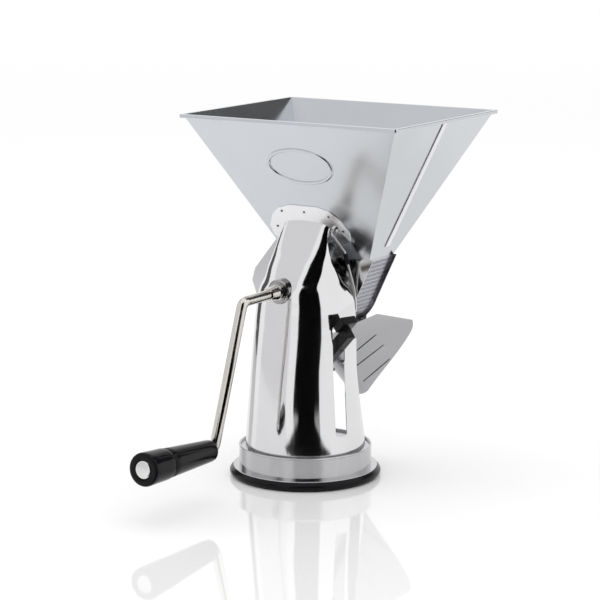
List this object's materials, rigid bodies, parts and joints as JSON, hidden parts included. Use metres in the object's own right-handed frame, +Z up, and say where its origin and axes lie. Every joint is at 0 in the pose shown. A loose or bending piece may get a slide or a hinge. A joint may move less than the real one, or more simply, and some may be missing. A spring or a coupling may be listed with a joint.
{
  "type": "hand cranked kitchen tools",
  "caption": "Hand cranked tomato strainer: flared steel hopper over a sieve and rotor, curved column on a suction foot, juice chute behind, bent crank with a tapered black grip",
  "frame": {"origin": "centre of the foot ring's underside, on the table", "axes": "+Z up, -Y towards the crank, +Y towards the juice chute, +X on the lever's side, -X on the peel side"},
  "size_m": [0.2434, 0.377, 0.3584],
  "materials": {
    "rubber_black": "soft satin",
    "steel_polished": "mirror polished stainless sheet",
    "steel_brushed": "brushed",
    "steel_turned": "bright turned",
    "bush_bronze": "turned",
    "plastic_black": "satin"
  },
  "bodies": {
    "stand": {"foot_ring": "rubber_black", "cup_membrane": "rubber_black", "column_shell": "steel_polished", "column_flange": "steel_polished", "rim_hem": "steel_polished", "hopper_front": "steel_polished", "hopper_rear": "steel_polished", "side_seams": "steel_polished", "front_plate": "steel_polished", "rear_plate": "steel_polished", "peel_hood": "steel_polished", "weld_spots": "steel_polished", "base_band": "steel_brushed", "base_plate": "steel_brushed", "juice_chute": "steel_brushed", "sieve_screen": "steel_brushed", "lever_bracket": "steel_brushed", "bearing_housing": "steel_turned", "housing_nut": "steel_turned", "column_screws": "steel_turned", "bracket_screws": "steel_turned", "cup_spring": "steel_turned", "clip_lug": "steel_turned", "clip_catch": "steel_turned", "front_bush": "bush_bronze", "basket_front_bush": "bush_bronze", "basket_rear_bush": "bush_bronze", "stem_guide": "bush_bronze"},
    "crank": {"drive_shaft": "steel_turned", "thrust_washer": "steel_turned", "end_nut": "steel_turned", "rotor_hub": "steel_turned", "rotor_blades": "steel_turned", "rotor_lips": "rubber_black", "rotor_pin": "steel_turned", "crank_ferrule": "steel_turned", "crank_arm": "steel_turned", "grip_cap": "steel_polished"},
    "grip": {"crank_grip": "plastic_black", "grip_collar": "plastic_black"},
    "lever": {"suction_lever": "plastic_black", "lever_pin": "steel_turned"},
    "stem": {"pull_stem": "steel_turned", "cup_boss": "rubber_black"},
    "clip": {"sieve_clip": "steel_turned", "clip_sleeve": "rubber_black"}
  },
  "joints": [
    {"name": "crank_turn", "type": "hinge", "parent": "stand", "child": "crank", "pos_m": [0, -0.05, 0.191], "axis": [0, 1, 0], "continuous": true},
    {"name": "grip_spin", "type": "hinge", "parent": "crank", "child": "grip", "pos_m": [-0.02349, -0.1255, 0.04832], "axis": [0, -0.9987, 0.0506], "continuous": true},
    {"name": "lever_turn", "type": "hinge", "parent": "stand", "child": "lever", "pos_m": [0.00507, -0.00185, 0.095], "axis": [0.342, 0.9397, 0], "range_deg": [0, 78]},
    {"name": "stem_lift", "type": "slide", "parent": "stand", "child": "stem", "axis": [0, 0, 1], "range_m": [0, 0.0081], "deforming": ["cup_spring"]},
    {"name": "clip_swing", "type": "hinge", "parent": "stand", "child": "clip", "pos_m": [0.037, -0.00533, 0.24891], "axis": [0, -0.8819, -0.4714], "range_deg": [0, 35]}
  ],
  "couplings": [
    {"joint": "stem_lift", "follows": "lever_turn", "m_per_rad": 0.0058802}
  ]
}
